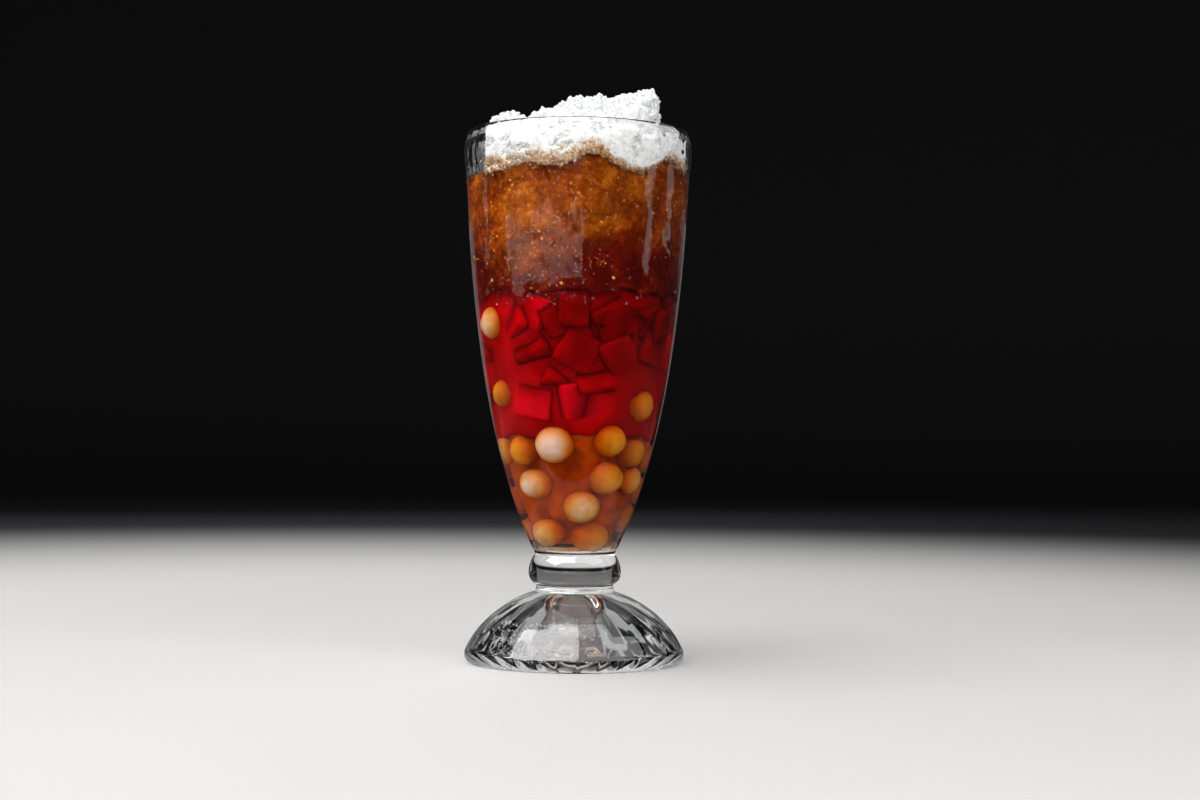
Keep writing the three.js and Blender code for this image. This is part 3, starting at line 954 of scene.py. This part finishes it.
def make_slush(material):
    """The slush's thick part, a little way behind the wall."""

    def bottom(x, y):
        return GULAMAN_TOP_Z - 0.6 + 1.2 * flat_noise(x, y, 6, 3, 8)

    def top(x, y):
        return slush_top(x, y) - 0.4

    def reach(z, angles):
        return inner_radius(z) - slush_depth(z, angles)

    points, faces = layer(bottom, top, reach, rings=(6, 20), rows=90, segments=360)
    angles = np.arctan2(points[:, 0], -points[:, 1])
    # The tone less the painted pool of light at the front's left
    tone = murk(angles, points[:, 2]) - golden(angles, points[:, 2])
    piece = make_piece("slush", points, faces, material, tone=tone)
    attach(piece, "root")
    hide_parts("brown_slush")


def make_slush_grains(material):
    """Pale ice grains at the wall: loose ones, fewer where the slush is dark, and a few clusters."""
    rng = np.random.default_rng(9)
    count, in_cluster, wall_r = 900, 9, 37
    clusters = [(-30, 135, 4), (-22, 137, 3), (7, 142, 2.5), (15, 141, 1.5)]
    angles = rng.uniform(0, 2 * math.pi, count)
    heights = rng.uniform(GULAMAN_TOP_Z - 1, SLUSH_EDGE_Z + 4, count)
    for index, (degrees, z, size) in enumerate(clusters):
        chosen = slice(index * in_cluster, (index + 1) * in_cluster)
        angles[chosen] = math.radians(degrees) + rng.normal(0, size / wall_r, in_cluster)
        heights[chosen] = np.maximum(rng.normal(z, size / 2, in_cluster), GULAMAN_TOP_Z)
    clustered = np.arange(count) < in_cluster * len(clusters)
    radii = 0.2 + 0.5 * rng.uniform(size=count) ** 4
    depths = radii + 0.2 + 2.4 * rng.uniform(size=count)
    centres = around(inner_radius(heights) - depths, angles, heights)
    kept = (heights + radii < slush_top(centres[:, 0], centres[:, 1])) & (
        clustered | (rng.uniform(size=count) > 0.8 * murk(angles, heights)))
    centres, radii = centres[kept], radii[kept]
    sizes = radii[:, None] * rng.uniform(0.6, 1.0, (len(radii), 3))
    grains = make_piece("slush_grains", *copies(ICOSA, centres, sizes, rng, jitter=0.25), material)
    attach(grains, "root")


# The shaved ice

# How far the crags and the loose crumbs stand up over the heap's top, along X
ICE_SAG = [
    (-24.5, 1.4), (-19.5, 5), (-14, 4.4), (-8, 4.2), (-2, 2.7), (8, 2.4), (12, 3.2), (15, 1.9), (20, 1.4)]

# How high over the slush the ice has soaked up syrup, by degrees from the front towards the right
SOAK_HEIGHTS = [
    (-180, 5), (-90, 7), (-50, 9), (-24, 6.5), (-2, 8), (12, 5), (18, 2.5), (33, 3), (38, 0.7), (50, 0.8),
    (62, 4), (80, 7), (120, 6), (180, 5)]

# Where lumps of ice hang down in front of the slush, from the front towards the right
LUMPS_DEG = 36


def ice_top(x, y):
    """The heap's top: a ridge that rises to the right from a lump and a dip, with a cliff and a shoulder at
    its end."""
    along = np.clip((x - ICE_LEFT_X) / (ICE_CLIFF_X - ICE_LEFT_X), 0, 1)
    lump = 2.8 * bump(np.hypot(x + 23, y - ICE_RIDGE_Y), 4)
    dip = 1.3 * bump(x + 18, 2.6)
    ridge = lerp(ICE_RIDGE_LEFT_Z, ICE_RIDGE_RIGHT_Z, 1 - (1 - along) ** 2.5) + lump - dip
    fall = np.minimum(np.abs(y - ICE_RIDGE_Y) / 35, 1) ** 2.4
    mound = lerp(ridge, ICE_EDGE_Z, fall)
    return lerp(mound, ICE_SHOULDER_Z, smoothstep(x, ICE_CLIFF_X - 1, ICE_CLIFF_X + 2))


def ice_reach(z, angles):
    """The heap touches the wall in front and behind, and stops short of it at the left and the right."""
    side = np.sin(angles)
    left = ICE_LEFT_X / np.minimum(side, -1e-6)
    right = ICE_RIGHT_X / np.maximum(side, 1e-6)
    return np.minimum(inner_radius(np.minimum(z, LIP_Z)) - GAP, np.where(side < 0, left, right))


def ice_crags(x, y):
    """The heap's top with its crags, let down by as much as they and the loose crumbs stand up."""
    clumps = flat_noise(x, y, 6, 3, 21)
    crumbs = np.abs(flat_noise(x, y, 2.4, 3, 41)) - 0.4
    return ice_top(x, y) - np.interp(x, *zip(*ICE_SAG)) + 0.9 * clumps + 1.4 * crumbs


def ice_soak(points):
    """How much syrup the ice has soaked up: a band of uneven height over the slush, at the wall."""
    x, y, z = points.T
    degrees = np.degrees(np.arctan2(x, -y))
    height = (z - slush_top(x, y)) / np.interp(degrees, *zip(*SOAK_HEIGHTS))
    outer = smoothstep(np.hypot(x, y), 24, 33)
    return outer * (1 - smoothstep(height + 0.35 * rough_noise(points, 2.6, 4, 51), 0.1, 1.15))


def make_ice(material):
    """The heap, which touches the wall with hollows in between, and hangs down into the slush's top."""

    def bottom(x, y):
        lumps = bump(np.degrees(np.arctan2(x, -y)) - LUMPS_DEG, 14)
        return slush_top(x, y) - 0.2 - (0.6 + 2.2 * lumps) * np.maximum(flat_noise(x, y, 2.4, 3, 37), 0)

    def reach(z, angles):
        hollows = np.maximum(rough_noise(around(34.0, angles, z), 3.0, 3, 33) - 0.1, 0)
        return ice_reach(z, angles) + GAP + 0.2 - 1.3 * hollows

    points, faces = layer(bottom, ice_crags, reach, rings=(5, 80), rows=48, segments=400)
    free = smoothstep(points[:, 2], LIP_Z, LIP_Z + 2)[:, None]
    cliff = 1 + 1.6 * smoothstep(points[:, 0], ICE_CLIFF_X - 5, ICE_CLIFF_X - 1)[:, None]
    push = np.column_stack([rough_noise(points, 2.4, 3, seed) for seed in (61, 71, 81)])
    points += free * cliff * 0.55 * push
    piece = make_piece("ice_heap", points, faces, material, tone=0.85 * ice_soak(points))
    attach(piece, "root")
    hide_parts("shaved_ice")
    return points, faces


def make_loose_ice(points, faces, material):
    """Crumbs on the heap's free faces, most at the cliff, and grains on its faces at the wall, most on the
    lumps that hang down."""
    rng = np.random.default_rng(7)

    def free_faces(spots):
        x, y, z = spots.T
        r = np.hypot(x, y)
        free = (z > ICE_SHOULDER_Z - 1.5) & (r < LIP_INNER_R - 1.2)
        return free * (1 + 2.5 * bump(x - ICE_CLIFF_X, 3) + bump(r, 5))

    def wall_faces(spots):
        x, y, z = spots.T
        lumps = bump(np.degrees(np.arctan2(x, -y)) - LUMPS_DEG, 16) * bump(z - slush_top(x, y), 2)
        return (z < LIP_Z) * (np.hypot(x, y) > inner_radius(z) - 3) * (1 + 12 * lumps)

    kinds = (("ice_crumbs", 7000, 1.5, free_faces), ("ice_grains", 6000, 0.8, wall_faces))
    for name, count, largest, wanted in kinds:
        spots = scatter(points, faces, count, rng, wanted)
        radii = 0.25 + largest * rng.uniform(size=count) ** 4
        at = np.hypot(spots[:, 0], spots[:, 1])
        room = inner_radius(np.minimum(spots[:, 2], LIP_Z)) + INTO_WALL - radii
        spots[:, :2] *= np.minimum(1, room / at)[:, None]
        sizes = radii[:, None] * rng.uniform(0.6, 1.0, (count, 3))
        soak = 0.85 * ice_soak(spots)
        tone = np.where(soak > 0.05, soak + 0.5 * rng.uniform(-1, 1, count), soak)
        crumb_points, crumb_faces = copies(ICOSA, spots, sizes, rng, jitter=0.3)
        tone = np.repeat(tone, len(ICOSA_POINTS))
        crumbs = make_piece(name, crumb_points, crumb_faces, material, smooth=False, tone=tone)
        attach(crumbs, "root")


# The room


def make_floor(material):
    """A wide floor, pale around the glass and darker far off, whose rim turns up into a wall all round."""
    flat_r, turn_r, top_z, pale_r, dark_r, segments = 2200, 900, 2200, 420, 1150, 96
    line = [(r, 0) for r in np.arange(0, flat_r, 50)]
    line += [tuple(p) for p in bezier([(flat_r, 0), (flat_r + turn_r, 0), (flat_r + turn_r, turn_r)], 24)]
    line += [(flat_r + turn_r, turn_r), (flat_r + turn_r, top_z)]
    angles = circle(segments)
    points = np.vstack([[[0, 0, 0]], *[around(r, angles, z) for r, z in line[1:]]])
    sides = [(a, (a + 1) % segments) for a in range(segments)]
    faces = [(0, 1 + a, 1 + b) for a, b in sides]
    for row in range(len(line) - 2):
        low = 1 + row * segments
        high = low + segments
        faces += [(low + a, high + a, high + b, low + b) for a, b in sides]
    tone = smoothstep(np.hypot(*points[:, :2].T), pale_r, dark_r)
    piece = make_piece("floor", points, faces, material, tone=tone)
    piece.visible_glossy = False


# The height that the lights face
AIM_Z = 110

# The photo's camera: its place, its tilt up from straight down, its roll and its lens
CAMERA_PLACE = (8.6, -701, 79.5)
CAMERA_TILT_DEG = 91.18
CAMERA_ROLL_DEG = 0.45
CAMERA_LENS = 58.4


def add_light(name, degrees, distance, height, width, tall, power, card=True, down=False):
    """A soft rectangular light, set by its angle from the front towards the right, its distance and its
    height, that faces the glass or straight down. A card shows in the glass and lights nothing. Any other
    light lights things and doesn't show."""
    light = bpy.data.lights.new(name, "AREA")
    light.shape = "RECTANGLE"
    light.size = width * MM
    light.size_y = tall * MM
    light.energy = power
    holder = bpy.data.objects.new(name, light)
    bpy.context.scene.collection.objects.link(holder)
    holder.location = around(distance, math.radians(degrees), height) * MM
    if not down:
        holder.rotation_euler = (math.atan2(distance, height - AIM_Z), 0, math.radians(degrees))
    holder.visible_camera = False
    holder.visible_diffuse = not card
    holder.visible_glossy = card
    holder.visible_transmission = card
    return holder


def make_room():
    """Plain soft studio light: a dim world, lights round the glass and cards for it to mirror."""
    world = bpy.data.worlds.new("studio")
    bpy.context.scene.world = world
    world.use_nodes = True
    world.node_tree.nodes["Background"].inputs["Color"].default_value = (0.9, 0.95, 1.0, 1)
    world.node_tree.nodes["Background"].inputs["Strength"].default_value = 0.03
    add_light("key", -33, 900, 520, 1300, 900, 7.2, card=False)
    add_light("fill", 45, 1100, 480, 900, 800, 6.8, card=False)
    add_light("back", -160, 1100, 700, 1300, 900, 6, card=False)
    add_light("top", -73, 345, 1100, 1000, 720, 9, card=False)
    add_light("low_card", -36, 820, 112, 1560, 164, 0.71)
    add_light("foot_glow", 0, 0, 0.4, 230, 230, 0.045).visible_transmission = False
    add_light("top_card", -55, 924, 1000, 1600, 1060, 57, down=True)
    add_light("haze_card", 56, 950, 1000, 1500, 1060, 14, down=True)
    add_light("far_card", 180, 900, 1100, 1600, 900, 1.6, down=True)
    add_light("far_low_card", 180, 900, 150, 1600, 200, 0.14)
    add_light("right_wide", 80, 1200, 450, 330, 760, 0.9)
    add_light("right_strip", 110, 1200, 520, 300, 760, 0.5)
    add_light("left_strip", -109, 1200, 480, 110, 780, 0.2)
    bpy.context.scene.view_settings.view_transform = "Standard"


def make_camera():
    """The photo's camera: a little below the middle of the glass and to its right."""
    camera = bpy.data.cameras.new("camera")
    camera.lens = CAMERA_LENS
    camera.clip_start = 0.01
    holder = bpy.data.objects.new("camera", camera)
    bpy.context.scene.collection.objects.link(holder)
    place = Matrix.Translation([along * MM for along in CAMERA_PLACE])
    tilt = Matrix.Rotation(math.radians(CAMERA_TILT_DEG), 4, "X")
    holder.matrix_world = place @ tilt @ Matrix.Rotation(math.radians(CAMERA_ROLL_DEG), 4, "Z")
    bpy.context.scene.camera = holder


make_room()
make_camera()
make_floor(floor_paint())
make_glass(clear_glass("clear_glass", True), clear_glass("wet_glass", False))
make_dew(dew())
make_syrup(brown_syrup())
stray_pearls = make_pearls(sago())
make_gulaman(stray_pearls, gulaman())
make_slush(syrup_slush())
make_slush_grains(slush_grains())
ice = shaved_ice()
make_loose_ice(*make_ice(ice), ice)
